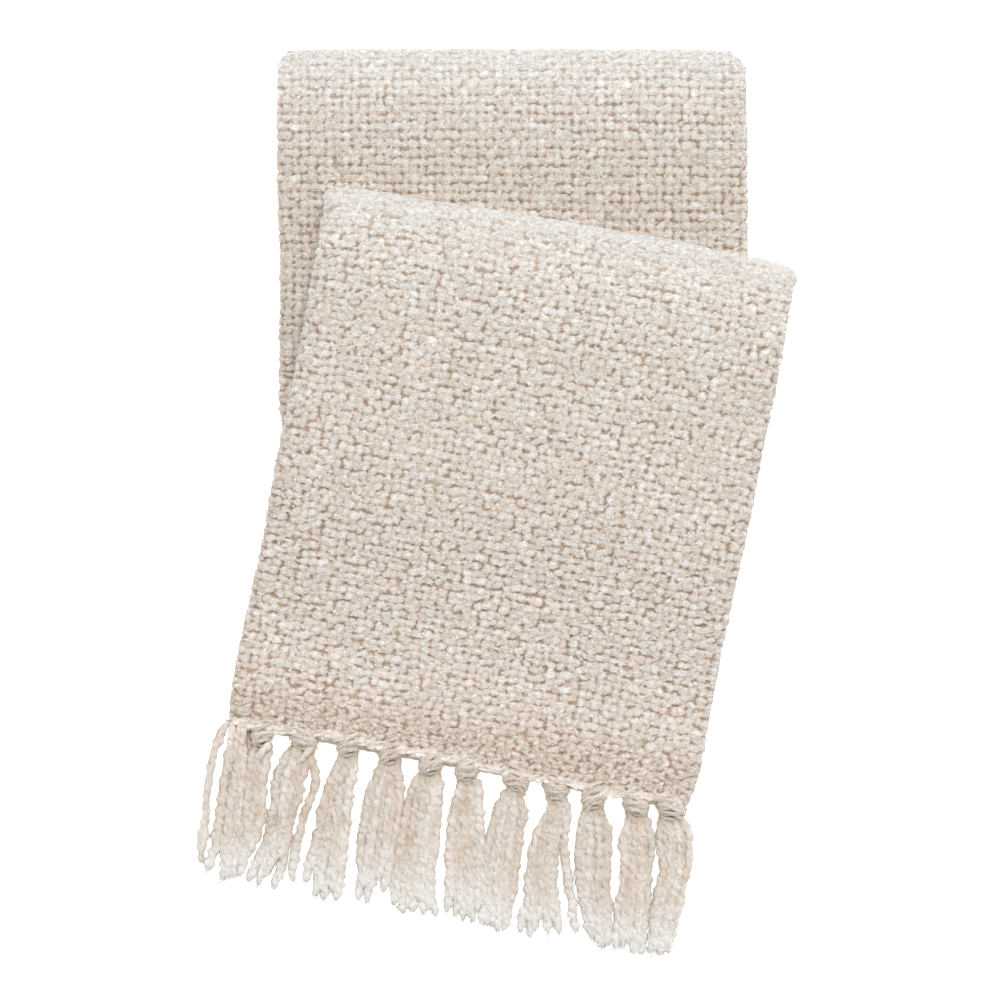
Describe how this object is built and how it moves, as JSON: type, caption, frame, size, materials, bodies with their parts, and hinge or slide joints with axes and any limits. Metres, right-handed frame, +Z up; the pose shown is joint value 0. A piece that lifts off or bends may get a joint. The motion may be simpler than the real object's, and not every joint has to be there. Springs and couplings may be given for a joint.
{
  "type": "folded boucle throw",
  "caption": "Chunky woven boucle throw blanket with a knotted fringe, folded into a flat layered strip and lying on a surface.",
  "frame": {"origin": "middle of the underside of the folded throw, on the surface it lies on", "axes": "+Y along the folded strip towards the top fold of the back run, -Y towards the front fringe, +X to the right seen from above, +Z up"},
  "size_m": [0.5414, 0.8284, 0.06],
  "materials": {
    "boucle_cloth": "matte, slubby plain weave",
    "fringe_yarn": "matte, softly twisted yarn"
  },
  "bodies": {
    "root": {"throw_cloth": "boucle_cloth", "fringe_front": "fringe_yarn", "fringe_far": "fringe_yarn"}
  },
  "joints": []
}
